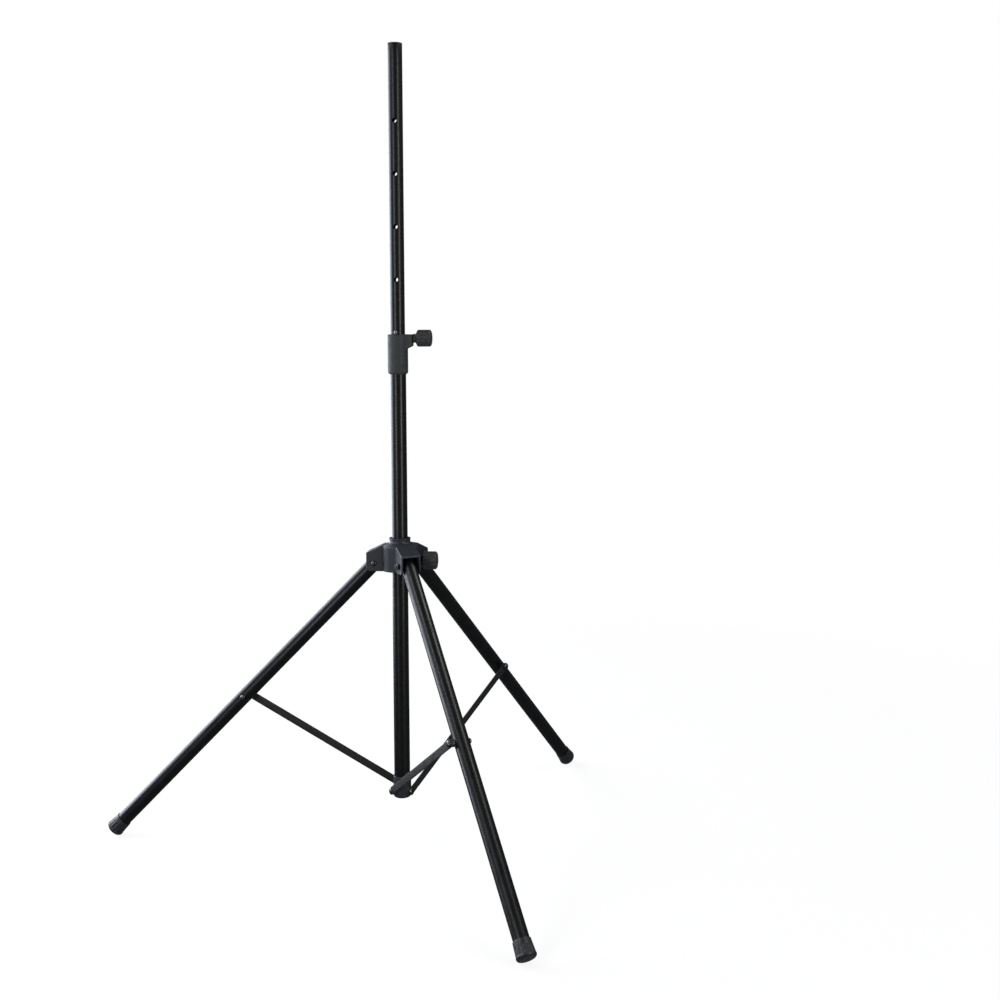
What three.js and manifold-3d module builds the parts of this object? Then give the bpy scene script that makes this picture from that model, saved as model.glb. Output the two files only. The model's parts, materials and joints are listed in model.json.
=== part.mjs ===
// A folding tripod stand for a loudspeaker: a telescopic steel mast, a sliding leg hub with
// three tube legs, and three flat struts that tie the legs to a boss at the foot of the mast.
// Millimetres, +Z up. Legs are numbered from the front right one, counter-clockwise from above.
// The clamp screws point along +X.
import * as THREE from 'three'
import { mergeVertices } from 'three/addons/utils/BufferGeometryUtils.js'
import Module from 'manifold-3d'

const wasm = await Module()
wasm.setup()

// ---- driving dimensions -------------------------------------------------------------------
const GAP = 0.3                    // clearance between touching pieces
const STAND_HEIGHT = 1920          // floor to the top face of the pole cap

const MAST_R = 19                  // lower mast tube, outside
const MAST_BORE_R = 17.8
const MAST_BOTTOM = 146.3
const MAST_TOP = 1196.2

const POLE_R = 17.5                // sliding upper pole, outside
const POLE_BORE_R = 16.3
const POLE_BOTTOM = 980
const CAP_FLANGE = 2
const PIN_HOLE_R = 5.5
const PIN_HOLE_PITCH = 125
const PIN_HOLE_COUNT = 6           // one of them is hidden inside the lower mast

const COLLAR_R = 24.3
const COLLAR_BOTTOM = 1137.5
const COLLAR_TOP = 1232.5
const COLLAR_BOSS_END = 36         // how far the screw boss reaches from the mast axis
const COLLAR_BOSS_WIDTH = 27
const COLLAR_BOSS_HEIGHT = 28
const COLLAR_SCREW_Z = 1223

const PIN_R = 4.6
const PIN_Z = COLLAR_TOP + GAP + PIN_R
const PIN_TIP = 27.5               // both ends measured from the mast axis
const PIN_HEAD_START = 34
const PIN_HEAD_END = 46
const PIN_HEAD_R = 6.5
const PIN_EYE_AT = 40
const PIN_EYE_R = 2.9
const RING_R = 14
const RING_WIRE_R = 0.9

const HUB_BOTTOM = 666
const HUB_TOP = 744.3
const HUB_BODY_R = 44
const HUB_WALL = 4
const HUB_SHOULDER_Z = 727         // where the sloping shoulder meets the side wall
const HUB_CAVITY_TOP = 716         // the casting is hollow below this
const HUB_SLEEVE_R = 27.5          // the inner sleeve round the liner
const HUB_RING_R = 25.2
const HUB_RING_HEIGHT = 11
const HUB_SCREW_Z = 689.8
const HUB_BOSS_END = 45.2
const HUB_BOSS_R = 13
const LINER_R = 21.5
const ARM_HALF_WIDTH = 24
const CHEEK_INNER = 20
const ARM_END = 78
const ARM_END_TOP = 711
const ARM_SLOPE = 0.46             // rise of the cover plate over the leg, towards the mast
const ARM_COVER = 4.8
const ARM_ROOM_START = 36.5        // inner end of the room that the leg swings in

const PIVOT_R = 59                 // leg hinge, from the mast axis
const PIVOT_Z = 685.4
const LEG_R = 17.5
const LEG_BORE_R = 16.3
const LEG_ANGLE = THREE.MathUtils.degToRad(44.56)  // from the vertical, stand open
const LEG_LENGTH = 946             // hinge to the tip of the rubber foot
const LEG_TUBE_END = 8             // the tube stops this far above the foot's tip
const LEG_ABOVE_PIVOT = 13
const FOOT_LENGTH = 39
const FOOT_END_R = 22
const FOOT_MOUTH_R = 19.4

const STRUT_ON_LEG = 466.8         // hinge to the strut bolt, along the leg
const STRUT_PIVOT_Z = 129
const STRUT_PLANE = 26             // sideways distance from the leg axis to the strut
const STRUT_THICK = 3
const STRUT_WIDTH = 18
const BOSS_R = 21.5
const BOSS_PAD_R = 9.5             // round pads that carry the struts
const BOSS_PAD_END = 25.3
const BOSS_BOTTOM = 112
const BOSS_TOP = 165

const BOLT_R = 4
const BOLT_HEAD_R = 7
const BOLT_HEAD_HEIGHT = 5
const NUT_R = 7.5
const NUT_HEIGHT = 6
const SPACER_R = 8
const RIVET_R = 8.5
const RIVET_HEIGHT = 6
const SCREW_R = 3
const SCREW_HEAD_R = 8.5
const SCREW_HEAD_HEIGHT = 3.6
const SCREW_GRIP = 12              // how deep the strut screw goes into the boss

const SCREW_BORE_R = 6.3           // clamp screws
const SHOE_R = 5.6
const SHOE_THICK = 3
const STUD_R = 4
const STUD_IN_KNOB = 20
const SCREW_TRAVEL = 2.5           // how far two turns of the knob draw the shoe back
const KNOB_GAP = 2                 // between the boss and the knob
const KNOB_LENGTH = 44.5
const KNOB_NECK_R = 10.7
const KNOB_NECK = 5.5
const KNOB_TAPER = 5
const KNOB_LOBES = 9
const COLLAR_KNOB_R = 20.3
const HUB_KNOB_R = 21.5

// plan angles in degrees, from +X towards +Y
const LEG_AZIMUTHS = [300, 60, 180]
const PIN_AZIMUTH = 90             // its head; the tip shows at the front

const ROUND = 32                   // facets round a tube
const SMALL_ROUND = 16             // facets round a bolt

// ---- derived places -----------------------------------------------------------------------
const strutReach = PIVOT_R + STRUT_ON_LEG * Math.sin(LEG_ANGLE)
const strutRise = PIVOT_Z - STRUT_ON_LEG * Math.cos(LEG_ANGLE) - STRUT_PIVOT_Z
const STRUT_LENGTH = Math.hypot(strutReach, strutRise)
const STRUT_ANGLE = Math.atan2(strutReach, strutRise)
const FOOT_TIP_R = PIVOT_R + LEG_LENGTH * Math.sin(LEG_ANGLE)
const BOX_CENTRE_SHIFT = FOOT_TIP_R / 4            // puts the origin under the middle of the plan

// ---- shape helpers ------------------------------------------------------------------------
function turned(profile, facets = ROUND) {
  // revolve [radius, z] points about Z
  const points = profile.map(([r, z]) => new THREE.Vector2(r, z))
  return new THREE.LatheGeometry(points, facets).rotateX(Math.PI / 2)
}

function rod(radius, z0, z1, facets = SMALL_ROUND) {
  return turned([[0, z0], [radius, z0], [radius, z1], [0, z1]], facets)
}

function sleeve(outer, inner, z0, z1, facets = ROUND) {
  return turned([[inner, z0], [outer, z0], [outer, z1], [inner, z1], [inner, z0]], facets)
}

function slab(outline, thickness) {
  // extrude an [x, z] outline along Y, centred on y = 0
  const shape = new THREE.Shape(outline.map(([x, z]) => new THREE.Vector2(x, z)))
  const body = new THREE.ExtrudeGeometry(shape, { depth: thickness, bevelEnabled: false })
  return body.rotateX(Math.PI / 2).translate(0, thickness / 2, 0)
}

const alongX = (geometry) => geometry.rotateY(Math.PI / 2)
const alongY = (geometry) => geometry.rotateX(-Math.PI / 2)
const turnedTo = (geometry, azimuth) => geometry.rotateZ(THREE.MathUtils.degToRad(azimuth))

function toSolid(geometry) {
  const bare = geometry.clone()
  bare.deleteAttribute('normal')
  bare.deleteAttribute('uv')
  const merged = mergeVertices(bare, 1e-4)
  const vertProperties = new Float32Array(merged.attributes.position.array)
  const triVerts = new Uint32Array(merged.index.array)
  return new wasm.Manifold(new wasm.Mesh({ numProp: 3, vertProperties, triVerts }))
}

function toGeometry(solid) {
  const mesh = solid.getMesh()
  const geometry = new THREE.BufferGeometry()
  geometry.setAttribute('position', new THREE.BufferAttribute(mesh.vertProperties, 3))
  geometry.setIndex(new THREE.BufferAttribute(mesh.triVerts, 1))
  geometry.computeVertexNormals()
  return geometry
}

function combined(base, { add = [], cut = [], keep = [] }) {
  let solid = toSolid(base)
  for (const piece of add) solid = solid.add(toSolid(piece))
  for (const piece of keep) solid = solid.intersect(toSolid(piece))
  for (const piece of cut) solid = solid.subtract(toSolid(piece))
  return toGeometry(solid)
}

// ---- materials ----------------------------------------------------------------------------
const paintedSteel = { color: 0x15181a, roughness: 0.38, metalness: 0.3 }
const strutSteel = { color: 0x1d2022, roughness: 0.5, metalness: 0.3 }
const castHub = { color: 0x262c30, roughness: 0.62, metalness: 0.2 }
const mouldedPlastic = { color: 0x2b3033, roughness: 0.68, metalness: 0 }
const knobPlastic = { color: 0x262b2b, roughness: 0.72, metalness: 0 }
const rubber = { color: 0x101214, roughness: 0.85, metalness: 0 }
const zinc = { color: 0x6c7074, roughness: 0.35, metalness: 0.9 }
const linerPlastic = { color: 0x1a1b1c, roughness: 0.5, metalness: 0 }

function piece(name, geometry, finish) {
  const mesh = new THREE.Mesh(geometry, new THREE.MeshStandardMaterial(finish))
  mesh.name = name
  return mesh
}

function placed(parts, x, y, z) {
  const holder = new THREE.Group()
  holder.position.set(x, y, z)
  holder.add(...parts)
  return holder
}

// ---- mast ---------------------------------------------------------------------------------
const pinHoleHeights = []
for (let step = -1; step < PIN_HOLE_COUNT - 1; step++) pinHoleHeights.push(PIN_Z + step * PIN_HOLE_PITCH)

function poleTube() {
  const drills = pinHoleHeights.map((height) =>
    turnedTo(alongX(rod(PIN_HOLE_R, -2 * POLE_R, 2 * POLE_R)), PIN_AZIMUTH).translate(0, 0, height))
  const tube = sleeve(POLE_R, POLE_BORE_R, POLE_BOTTOM, STAND_HEIGHT - CAP_FLANGE - GAP)
  return combined(tube, { cut: drills })
}

function poleCap() {
  const spigot = POLE_BORE_R - 2 * GAP
  const under = STAND_HEIGHT - CAP_FLANGE
  const edge = 1
  return turned([[0, under - 18], [spigot, under - 18], [spigot, under], [POLE_R, under],
    [POLE_R, STAND_HEIGHT - edge], [POLE_R - edge, STAND_HEIGHT], [0, STAND_HEIGHT]])
}

function poleGuide() {
  const spigot = POLE_BORE_R - 2 * GAP
  const flange = 8
  const top = POLE_BOTTOM - GAP
  return turned([[0, top - flange], [POLE_R, top - flange], [POLE_R, top], [spigot, top],
    [spigot, top + 22], [0, top + 22]])
}

function collarBody() {
  const chamfer = 4
  const edge = 1.2
  const shell = turned([[0, COLLAR_BOTTOM], [COLLAR_R - chamfer, COLLAR_BOTTOM],
    [COLLAR_R, COLLAR_BOTTOM + chamfer], [COLLAR_R, COLLAR_TOP - edge],
    [COLLAR_R - edge, COLLAR_TOP], [0, COLLAR_TOP]])
  const under = COLLAR_TOP - COLLAR_BOSS_HEIGHT
  const gusset = slab([[0, under - 10], [COLLAR_R - 3, under - 7], [COLLAR_BOSS_END, under],
    [COLLAR_BOSS_END, COLLAR_TOP], [0, COLLAR_TOP]], COLLAR_BOSS_WIDTH)
  const socket = rod(MAST_R + GAP, COLLAR_BOTTOM - 1, MAST_TOP + GAP, ROUND)
  const guideBore = rod(MAST_BORE_R, MAST_TOP, COLLAR_TOP + 1, ROUND)
  const screwBore = alongX(rod(SCREW_BORE_R, 0, COLLAR_BOSS_END + 1)).translate(0, 0, COLLAR_SCREW_Z)
  return combined(shell, {
    add: [gusset],
    cut: [socket, guideBore, screwBore],
  })
}

function safetyPin() {
  const pin = turned([[0, -PIN_TIP], [PIN_R - 1, -PIN_TIP], [PIN_R, 1 - PIN_TIP], [PIN_R, PIN_HEAD_START],
    [PIN_HEAD_R, PIN_HEAD_START], [PIN_HEAD_R, PIN_HEAD_END - 1], [PIN_HEAD_R - 1, PIN_HEAD_END],
    [0, PIN_HEAD_END]], SMALL_ROUND)
  const eye = alongY(rod(PIN_EYE_R, -10, 10)).translate(PIN_EYE_AT, 0, 0)
  const tipBore = alongX(rod(2, -PIN_TIP - 1, 4 - PIN_TIP))
  return combined(alongX(pin), { cut: [eye, tipBore] })
}

function splitRing() {
  // hangs from the pin's eye, face on to the pin
  const ring = new THREE.TorusGeometry(RING_R, RING_WIRE_R, 8, 28)
  return ring.rotateY(Math.PI / 2).translate(PIN_EYE_AT, 0, -RING_R)
}

// ---- clamp screws, the same kit at the collar and at the hub ---------------------------------
function clampInsert(tubeR, bossEnd) {
  const start = tubeR + SHOE_THICK + SCREW_TRAVEL + 3 * GAP
  return alongX(sleeve(SCREW_BORE_R - GAP, STUD_R + GAP, start, bossEnd - GAP, SMALL_ROUND))
}

function clampShoe(tubeR) {
  const face = tubeR + GAP
  return alongX(rod(SHOE_R, face, face + SHOE_THICK))
}

function clampStud(tubeR, knobStart) {
  return alongX(rod(STUD_R, tubeR + SHOE_THICK + 2 * GAP, knobStart + STUD_IN_KNOB))
}

function lobedOutline(radius, lobes) {
  const points = []
  const perLobe = 6
  const depth = 0.07
  for (let step = 0; step < lobes * perLobe; step++) {
    const angle = (2 * Math.PI * step) / (lobes * perLobe)
    const reach = radius * (1 - depth * Math.pow(Math.abs(Math.sin(angle * lobes / 2 + Math.PI / 2)), 6))
    points.push([reach * Math.cos(angle), reach * Math.sin(angle)])
  }
  return points
}

function clampKnob(radius, start) {
  const end = start + KNOB_LENGTH
  const dome = 2
  const envelope = turned([[0, start], [KNOB_NECK_R, start], [KNOB_NECK_R, start + KNOB_NECK],
    [radius, start + KNOB_NECK + KNOB_TAPER], [radius, end - dome - 2], [radius - 3, end - dome],
    [radius * 0.55, end - 0.4], [0, end]])
  const outline = lobedOutline(radius, KNOB_LOBES).map(([x, y]) => new THREE.Vector2(x, y))
  const grip = new THREE.ExtrudeGeometry(new THREE.Shape(outline), { depth: end - start, bevelEnabled: false })
  grip.translate(0, 0, start)
  const bore = rod(STUD_R + GAP, start - 1, start + STUD_IN_KNOB + GAP)
  return alongX(combined(envelope, { keep: [grip], cut: [bore] }))
}

// ---- hub ----------------------------------------------------------------------------------
function hubArm() {
  const corner = 7
  const inner = HUB_BODY_R - 6
  return slab([[inner, HUB_BOTTOM], [ARM_END - corner, HUB_BOTTOM], [ARM_END - 2, HUB_BOTTOM + 2],
    [ARM_END, HUB_BOTTOM + corner], [ARM_END, ARM_END_TOP],
    [inner, ARM_END_TOP + ARM_SLOPE * (ARM_END - inner)]], 2 * ARM_HALF_WIDTH)
}

function hubArmRoom() {
  const beyond = ARM_END + 12
  const ceiling = (r) => ARM_END_TOP - ARM_COVER + ARM_SLOPE * (ARM_END - r)
  return slab([[ARM_ROOM_START, HUB_BOTTOM - 10], [beyond, HUB_BOTTOM - 10], [beyond, ceiling(beyond)],
    [ARM_ROOM_START, ceiling(ARM_ROOM_START)]], 2 * CHEEK_INNER)
}

function hubShell() {
  const ringBase = HUB_TOP - HUB_RING_HEIGHT
  const lipR = HUB_RING_R + 0.9
  const core = turned([[0, HUB_BOTTOM], [HUB_BODY_R, HUB_BOTTOM], [HUB_BODY_R, HUB_SHOULDER_Z],
    [HUB_RING_R, ringBase], [HUB_RING_R, HUB_TOP - 3], [lipR, HUB_TOP - 2], [lipR, HUB_TOP], [0, HUB_TOP]])
  const cavity = sleeve(HUB_BODY_R - HUB_WALL, HUB_SLEEVE_R, HUB_BOTTOM - 1, HUB_CAVITY_TOP)
  return combined(core, { cut: [cavity] })
}

function hubCasting() {
  const screwBoss = alongX(rod(HUB_BOSS_R, LINER_R + 1, HUB_BOSS_END, 24)).translate(0, 0, HUB_SCREW_Z)
  const screwBore = alongX(rod(SCREW_BORE_R, 0, HUB_BOSS_END + 1)).translate(0, 0, HUB_SCREW_Z)
  const bore = rod(LINER_R + GAP, HUB_BOTTOM - 1, HUB_TOP + 1, ROUND)
  const boltHole = () => alongY(rod(BOLT_R + GAP, -60, 60)).translate(PIVOT_R, 0, PIVOT_Z)
  return combined(hubShell(), {
    add: [screwBoss, ...LEG_AZIMUTHS.map((a) => turnedTo(hubArm(), a))],
    cut: [bore, screwBore, ...LEG_AZIMUTHS.map((a) => turnedTo(hubArmRoom(), a)),
      ...LEG_AZIMUTHS.map((a) => turnedTo(boltHole(), a))],
  })
}

function hubLiner() {
  const liner = sleeve(LINER_R, MAST_R + GAP, HUB_BOTTOM + 1, HUB_TOP - 1)
  const screwBore = alongX(rod(SCREW_BORE_R, 0, 40)).translate(0, 0, HUB_SCREW_Z)
  return combined(liner, { cut: [screwBore] })
}

// ---- legs, in a frame at the hinge with -Z running down the leg ------------------------------
function crossDrill(z) {
  return alongY(rod(BOLT_R + 2 * GAP, -30, 30)).translate(0, 0, z)
}

function legTube() {
  const bottom = LEG_TUBE_END - LEG_LENGTH
  return combined(sleeve(LEG_R, LEG_BORE_R, bottom, LEG_ABOVE_PIVOT),
    { cut: [crossDrill(0), crossDrill(-STRUT_ON_LEG)] })
}

function legPlug() {
  const spigot = LEG_BORE_R - 2 * GAP
  const seat = LEG_ABOVE_PIVOT + GAP
  const top = seat + 1.2
  const plug = turned([[0, -30], [spigot, -30], [spigot, seat], [LEG_R, seat], [LEG_R, top], [0, top]])
  return combined(plug, { cut: [crossDrill(0)] })
}

function rubberFoot() {
  const end = -LEG_LENGTH
  const mouth = end + FOOT_LENGTH
  const seat = LEG_TUBE_END - LEG_LENGTH - GAP
  const bore = LEG_R + GAP
  const cap = turned([[0, end], [FOOT_END_R - 5, end + 0.6], [FOOT_END_R - 1.5, end + 2.5],
    [FOOT_END_R, end + 6], [FOOT_MOUTH_R, mouth], [bore, mouth], [bore, seat], [0, seat]])
  const floor = new THREE.BoxGeometry(200, 200, 100).translate(FOOT_TIP_R, 0, -50)
  floor.translate(-PIVOT_R, 0, -PIVOT_Z).rotateY(LEG_ANGLE)
  return combined(cap, { cut: [floor] })
}

function buttonHead(under) {
  return [[BOLT_HEAD_R, under], [BOLT_HEAD_R, under + 2], [4.5, under + BOLT_HEAD_HEIGHT - 0.4],
    [0, under + BOLT_HEAD_HEIGHT]]
}

function hingeBolt() {
  const head = ARM_HALF_WIDTH + GAP
  const end = head + NUT_HEIGHT + 3
  return alongY(turned([[0, -end], [BOLT_R, -end], [BOLT_R, head], ...buttonHead(head)], SMALL_ROUND))
}

function hexNut() {
  const hexagon = 6
  const seat = -ARM_HALF_WIDTH - GAP
  const prism = rod(NUT_R, seat - NUT_HEIGHT, seat, hexagon)
  const thread = rod(BOLT_R + GAP, seat - NUT_HEIGHT - 1, seat + 1)
  return alongY(combined(prism, { cut: [thread] }))
}

function strutBolt() {
  // ends level with its spacer, because the strut's pivot is the opened joint of the linkage
  const head = LEG_R + GAP
  const end = GAP - STRUT_PLANE
  return alongY(turned([[0, end], [BOLT_R, end], [BOLT_R, head], ...buttonHead(head)], SMALL_ROUND))
}

function strutSpacer() {
  return alongY(sleeve(SPACER_R, BOLT_R + GAP, GAP - STRUT_PLANE, -LEG_R - GAP, SMALL_ROUND))
}

// ---- struts, in a frame at the boss screw with +Z running up the strut -----------------------
function strutBar() {
  const half = STRUT_WIDTH / 2
  const shape = new THREE.Shape()
  shape.absarc(0, STRUT_LENGTH, half, 0, Math.PI, false)
  shape.absarc(0, 0, half, Math.PI, 2 * Math.PI, false)
  for (const z of [0, STRUT_LENGTH]) {
    const hole = new THREE.Path()
    hole.absarc(0, z, z > 0 ? BOLT_R + GAP : SCREW_R + GAP, 0, 2 * Math.PI, true)
    shape.holes.push(hole)
  }
  const bar = new THREE.ExtrudeGeometry(shape, { depth: STRUT_THICK, bevelEnabled: false, curveSegments: 8 })
  return bar.rotateX(Math.PI / 2).translate(0, -STRUT_PLANE, 0)
}

function strutRivet() {
  // rides on the strut: the domed tail of the pivot bolt
  const under = STRUT_PLANE + STRUT_THICK + GAP
  const top = under + RIVET_HEIGHT
  return alongY(turned([[0, -top], [RIVET_R - 3.5, -top + 0.6], [RIVET_R, -under - 3], [RIVET_R, -under],
    [0, -under]], SMALL_ROUND))
}

function strutScrew() {
  const under = STRUT_PLANE + STRUT_THICK + GAP
  const top = under + SCREW_HEAD_HEIGHT
  const tip = SCREW_GRIP - BOSS_PAD_END
  return alongY(turned([[0, -top], [SCREW_HEAD_R - 3.1, -top + 0.2], [SCREW_HEAD_R, -under - 1.5],
    [SCREW_HEAD_R, -under], [SCREW_R, -under], [SCREW_R, tip], [0, tip]], SMALL_ROUND))
}

function mastBoss() {
  const plug = turned([[0, BOSS_BOTTOM], [BOSS_R - 4, BOSS_BOTTOM], [BOSS_R, BOSS_BOTTOM + 4],
    [BOSS_R, BOSS_TOP - 1], [BOSS_R - 1, BOSS_TOP], [0, BOSS_TOP]])
  const pads = []
  const cuts = [rod(MAST_R + GAP, MAST_BOTTOM - GAP, BOSS_TOP + 1, ROUND)]
  for (const azimuth of LEG_AZIMUTHS) {
    const pad = alongY(rod(BOSS_PAD_R, -BOSS_PAD_END, 0, 24)).translate(0, 0, STRUT_PIVOT_Z)
    const hole = alongY(rod(SCREW_R + GAP, -40, SCREW_GRIP + 0.5 - BOSS_PAD_END)).translate(0, 0, STRUT_PIVOT_Z)
    pads.push(turnedTo(pad, azimuth))
    cuts.push(turnedTo(hole, azimuth))
  }
  return combined(plug, { add: pads, cut: cuts })
}

// ---- assembly -----------------------------------------------------------------------------
function clampKit(prefix, tubeR, bossEnd, knobR, height) {
  const knobStart = bossEnd + KNOB_GAP
  return placed([
    piece(`${prefix}_insert`, clampInsert(tubeR, bossEnd), zinc),
    piece(`${prefix}_clamp_shoe`, clampShoe(tubeR), linerPlastic),
    piece(`${prefix}_clamp_stud`, clampStud(tubeR, knobStart), zinc),
    piece(`${prefix}_clamp_knob`, clampKnob(knobR, knobStart), knobPlastic),
  ], 0, 0, height)
}

function legAssembly(number, azimuth) {
  const swing = placed([
    piece(`leg_${number}_tube`, legTube(), paintedSteel),
    piece(`leg_${number}_plug`, legPlug(), linerPlastic),
    piece(`leg_${number}_foot`, rubberFoot(), rubber),
    placed([
      piece(`leg_${number}_strut_bolt`, strutBolt(), zinc),
      piece(`leg_${number}_strut_spacer`, strutSpacer(), linerPlastic),
    ], 0, 0, -STRUT_ON_LEG),
  ], PIVOT_R, 0, PIVOT_Z)
  swing.rotation.y = -LEG_ANGLE
  const hinge = placed([
    piece(`leg_${number}_hinge_bolt`, hingeBolt(), zinc),
    piece(`leg_${number}_hinge_nut`, hexNut(), zinc),
  ], PIVOT_R, 0, PIVOT_Z)
  const rivet = placed([piece(`strut_${number}_rivet`, strutRivet(), zinc)], 0, 0, STRUT_LENGTH)
  const strut = placed([piece(`strut_${number}_bar`, strutBar(), strutSteel), rivet], 0, 0, STRUT_PIVOT_Z)
  strut.rotation.y = STRUT_ANGLE
  const screw = placed([piece(`strut_${number}_screw`, strutScrew(), zinc)], 0, 0, STRUT_PIVOT_Z)
  const leg = placed([swing, hinge, strut, screw], 0, 0, 0)
  leg.rotation.z = THREE.MathUtils.degToRad(azimuth)
  return leg
}

const pin = placed([piece('safety_pin', safetyPin(), zinc), piece('pin_ring', splitRing(), zinc)], 0, 0, PIN_Z)
pin.rotation.z = THREE.MathUtils.degToRad(PIN_AZIMUTH)

const group = placed([
  piece('pole_tube', poleTube(), paintedSteel),
  piece('pole_cap', poleCap(), linerPlastic),
  piece('pole_guide', poleGuide(), linerPlastic),
  pin,
  piece('collar', collarBody(), mouldedPlastic),
  clampKit('collar', POLE_R, COLLAR_BOSS_END, COLLAR_KNOB_R, COLLAR_SCREW_Z),
  piece('lower_mast_tube', sleeve(MAST_R, MAST_BORE_R, MAST_BOTTOM, MAST_TOP), paintedSteel),
  piece('mast_boss', mastBoss(), castHub),
  piece('hub_casting', hubCasting(), castHub),
  piece('hub_liner', hubLiner(), linerPlastic),
  clampKit('hub', MAST_R, HUB_BOSS_END, HUB_KNOB_R, HUB_SCREW_Z),
  ...LEG_AZIMUTHS.map((azimuth, index) => legAssembly(index + 1, azimuth)),
], BOX_CENTRE_SHIFT, 0, 0)

export default group
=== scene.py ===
import json
import math

import bmesh
import bpy
from mathutils import Matrix, Vector


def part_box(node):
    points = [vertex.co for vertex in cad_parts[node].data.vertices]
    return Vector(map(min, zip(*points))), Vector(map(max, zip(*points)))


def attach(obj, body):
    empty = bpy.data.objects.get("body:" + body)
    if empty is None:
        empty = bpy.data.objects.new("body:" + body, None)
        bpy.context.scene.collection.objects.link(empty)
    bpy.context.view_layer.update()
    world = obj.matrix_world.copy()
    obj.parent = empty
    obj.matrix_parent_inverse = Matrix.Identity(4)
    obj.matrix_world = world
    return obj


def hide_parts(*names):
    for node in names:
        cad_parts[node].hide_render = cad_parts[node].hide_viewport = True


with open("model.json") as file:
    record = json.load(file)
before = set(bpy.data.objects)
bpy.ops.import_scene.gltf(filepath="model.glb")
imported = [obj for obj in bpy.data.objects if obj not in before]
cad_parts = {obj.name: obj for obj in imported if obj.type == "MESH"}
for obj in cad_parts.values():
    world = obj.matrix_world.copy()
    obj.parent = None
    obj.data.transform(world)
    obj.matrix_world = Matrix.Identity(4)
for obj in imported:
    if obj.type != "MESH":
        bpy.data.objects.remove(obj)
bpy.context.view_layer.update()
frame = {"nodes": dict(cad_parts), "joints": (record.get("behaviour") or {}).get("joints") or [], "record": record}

# Shapes are worked out in millimetres, in the frame's own axes, and scaled to metres when shown.
MM = 0.001

# ---- what the frame says --------------------------------------------------------------------
RECORD = frame["record"]
BODY_OF = {node: body for body, nodes in RECORD["behaviour"]["bodies"].items() for node in nodes}
SLOT_OF = {part["node"]: part["material_slot"] for part in RECORD["subparts"]}
JOINTS = {joint["name"]: joint for joint in frame["joints"]}


def cad_box(node):
    low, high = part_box(node)
    return low / MM, high / MM


def joint_place(name):
    return Vector(JOINTS[name]["pos_m"]) / MM


mast_low, mast_high = cad_box("lower_mast_tube")
MAST_X = (mast_low.x + mast_high.x) / 2
MAST = Matrix.Translation((MAST_X, 0, 0))
MAST_R = (mast_high.x - mast_low.x) / 2
pole_low, pole_high = cad_box("pole_tube")
POLE_R = (pole_high.x - pole_low.x) / 2
PIN_Z = joint_place("pin_ring_swing").z
LEGS = (1, 2, 3)
LEG_ANGLE = math.radians(JOINTS["leg_1_fold"]["range_deg"][1])

# ---- sizes that the frame's boxes don't give --------------------------------------------------
WALL = 1.2               # of every tube
GAP = 0.3                # between pieces that touch or slide
CLEAR = 5                # how far a cutter runs past the surface it opens
PIN_HOLES = 6
PIN_HOLE_PITCH = 125
PIN_HOLE_R = 5.5
BOLT_R = 4
BOLT_BORE_R = BOLT_R + GAP
HEAD_R = 6.4             # button heads of the bolts
HEAD_HEIGHT = 4.6
INSERT_SEAT_R = 6.3      # bores that a threaded insert sits in or passes through
HUB_BORE_R = 21.8
ARM_HALF = 24            # half the width of each fork that holds a leg
LEG_R = 17.5
LEG_LENGTH = 946         # hinge to the tip of the foot
LEG_TOP = 13             # how far the tube runs on above its hinge
LEG_TUBE_END = 8 - LEG_LENGTH            # leaves 8 for the floor of the foot
LEG_HOLE_R = 4.6
STRUT_ON_LEG = 466.8     # hinge to the strut bolt, along the leg
STRUT_PLANE = 26         # inner face of the struts, sideways from the leg's middle
STRUT_THICK = 3
STRUT_FACE = STRUT_PLANE + STRUT_THICK + GAP
PAD_END = 25.3           # end of the boss's pads, sideways from the mast's axis
SCREW_R = 3
SCREW_GRIP = 12          # how deep a strut screw goes into its pad


def leg_azimuth(number):
    outward = joint_place(f"leg_{number}_fold") - Vector((MAST_X, 0, 0))
    return math.atan2(outward.y, outward.x)


def hinge_frame(number):
    """At the leg's hinge, +X outward, +Y along the hinge bolt, +Z up."""
    place = Matrix.Translation(joint_place(f"leg_{number}_fold"))
    return place @ Matrix.Rotation(leg_azimuth(number), 4, "Z")


def leg_frame(number):
    """At the leg's hinge, with -Z running down the leg."""
    return hinge_frame(number) @ Matrix.Rotation(-LEG_ANGLE, 4, "Y")


def boss_frame(number):
    """At the strut's lower pivot, +X outward under the leg, +Z up."""
    place = Matrix.Translation(joint_place(f"strut_{number}_fold"))
    return place @ Matrix.Rotation(leg_azimuth(number), 4, "Z")


def strut_span(number):
    """The strut's pivot-to-pivot length and its angle from the vertical."""
    low, high = cad_box(f"strut_{number}_rivet")
    run = (low + high) / 2 - joint_place(f"strut_{number}_fold")
    outward = run.x * math.cos(leg_azimuth(number)) + run.y * math.sin(leg_azimuth(number))
    return math.hypot(outward, run.z), math.atan2(outward, run.z)


STRUT_LENGTH, STRUT_ANGLE = strut_span(1)


# ---- mesh making ----------------------------------------------------------------------------
MERGE = 1e-4
SHARP_ANGLE = 35         # degrees; a sharper edge is shaded as an edge
KEEP_ROUND = 50          # the same for shapes whose grooves shade as soft ones


def new_object(name, mesh):
    made = bpy.data.objects.new(name, mesh)
    bpy.context.scene.collection.objects.link(made)
    return made


def from_bmesh(name, bm, sharp=SHARP_ANGLE):
    bmesh.ops.remove_doubles(bm, verts=bm.verts, dist=MERGE)
    bmesh.ops.recalc_face_normals(bm, faces=bm.faces)
    mesh = bpy.data.meshes.new(name)
    bm.to_mesh(mesh)
    bm.free()
    smooth(mesh, sharp)
    return new_object(name, mesh)


def smooth(mesh, sharp=SHARP_ANGLE):
    mesh.shade_smooth()
    mesh.set_sharp_from_angle(angle=math.radians(sharp))


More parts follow.
